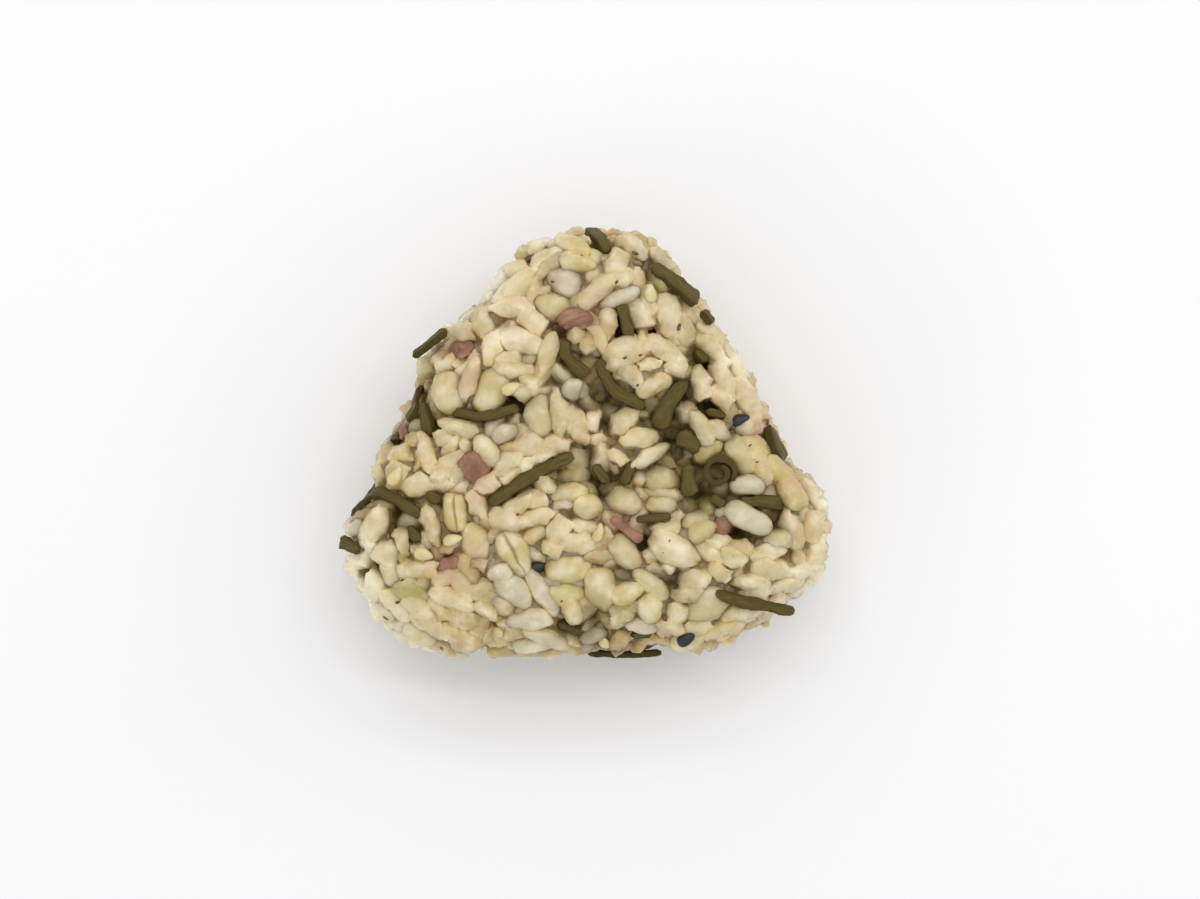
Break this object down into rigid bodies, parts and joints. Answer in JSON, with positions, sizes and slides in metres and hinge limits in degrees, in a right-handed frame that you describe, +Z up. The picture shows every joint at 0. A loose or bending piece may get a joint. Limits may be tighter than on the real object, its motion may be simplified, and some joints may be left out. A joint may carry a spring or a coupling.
{
  "type": "onigiri rice ball",
  "caption": "Triangular ball of boiled rice and pearl barley lying flat, with kelp shreds, sesame seeds and bits of pickled plum pressed into its surface.",
  "frame": {"origin": "on the resting face, at the middle of the triangle", "axes": "+Z up out of the resting face through the ball's thickness, +X along its longest side to the right, +Y towards the corner opposite that side"},
  "size_m": [0.0734, 0.0643, 0.0282],
  "materials": {
    "rice": "moist boiled rice, cream white, softly glossy and slightly see-through",
    "barley": "moist boiled pearl barley, yellowish cream, softly glossy",
    "kelp": "simmered kelp, dark olive green, moist and smooth",
    "plum": "pickled plum flesh, dusty rose, moist",
    "white_sesame": "hulled sesame seed, pale straw, satin",
    "black_sesame": "black sesame seed, satin"
  },
  "bodies": {
    "root": {"kelp_apex": "kelp", "kelp_apex_left": "kelp", "kelp_arc": "kelp", "kelp_below_middle": "kelp", "kelp_beside_coil": "kelp", "kelp_bottom_flank": "kelp", "kelp_bottom_left": "kelp", "kelp_bottom_right": "kelp", "kelp_broad": "kelp", "kelp_broad_low": "kelp", "kelp_coil": "kelp", "kelp_coil_tail": "kelp", "kelp_green": "kelp", "kelp_hidden_1": "kelp", "kelp_hidden_10": "kelp", "kelp_hidden_2": "kelp", "kelp_hidden_3": "kelp", "kelp_hidden_4": "kelp", "kelp_hidden_5": "kelp", "kelp_hidden_6": "kelp", "kelp_hidden_7": "kelp", "kelp_hidden_8": "kelp", "kelp_hidden_9": "kelp", "kelp_hook": "kelp", "kelp_left_bridge": "kelp", "kelp_left_chip": "kelp", "kelp_left_fork_inner": "kelp", "kelp_left_fork_outer": "kelp", "kelp_left_leaf": "kelp", "kelp_left_leg": "kelp", "kelp_left_nick": "kelp", "kelp_left_spur": "kelp", "kelp_left_toe": "kelp", "kelp_long": "kelp", "kelp_middle_left": "kelp", "kelp_middle_right": "kelp", "kelp_right_chip": "kelp", "kelp_right_rim": "kelp", "kelp_right_sliver": "kelp", "kelp_shoulder": "kelp", "kelp_shoulder_tail": "kelp", "kelp_stick": "kelp", "kelp_under_apex": "kelp", "kelp_upper_left": "kelp", "plum_apex": "plum", "plum_coil": "plum", "plum_fork": "plum", "plum_left": "plum", "plum_low": "plum", "plum_middle": "plum", "plum_rim": "plum", "plum_strand": "plum", "rice": "rice"}
  },
  "joints": []
}
